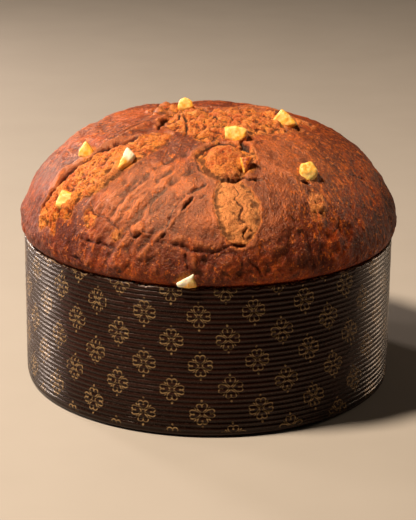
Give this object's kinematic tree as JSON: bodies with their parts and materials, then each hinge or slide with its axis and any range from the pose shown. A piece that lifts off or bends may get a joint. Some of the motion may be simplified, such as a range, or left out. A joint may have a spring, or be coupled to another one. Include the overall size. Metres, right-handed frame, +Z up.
{
  "type": "panettone in paper baking case",
  "caption": "Tall domed sweet bread with torn brown crust and candied peel, in a round fluted paper baking case.",
  "frame": {"origin": "middle of the flat underside of the paper case", "axes": "+Z up through the top of the dome, -Y towards the side the picture shows, +X to that side's right"},
  "size_m": [0.1899, 0.1899, 0.1409],
  "materials": {
    "paper": "dark brown fluted baking paper with a soft sheen and a tan gold print",
    "crust": "baked crust, dark chocolate brown with orange brown crumb in the tears, satin",
    "candied_peel": "translucent yellow candied citrus peel, cream where cut"
  },
  "bodies": {
    "root": {"paper_case": "paper", "panettone": "crust", "peel_01": "candied_peel", "peel_02": "candied_peel", "peel_03": "candied_peel", "peel_04": "candied_peel", "peel_05": "candied_peel", "peel_06": "candied_peel", "peel_07": "candied_peel", "peel_08": "candied_peel", "peel_09": "candied_peel", "peel_10": "candied_peel", "peel_11": "candied_peel", "peel_12": "candied_peel", "peel_13": "candied_peel"}
  },
  "joints": []
}
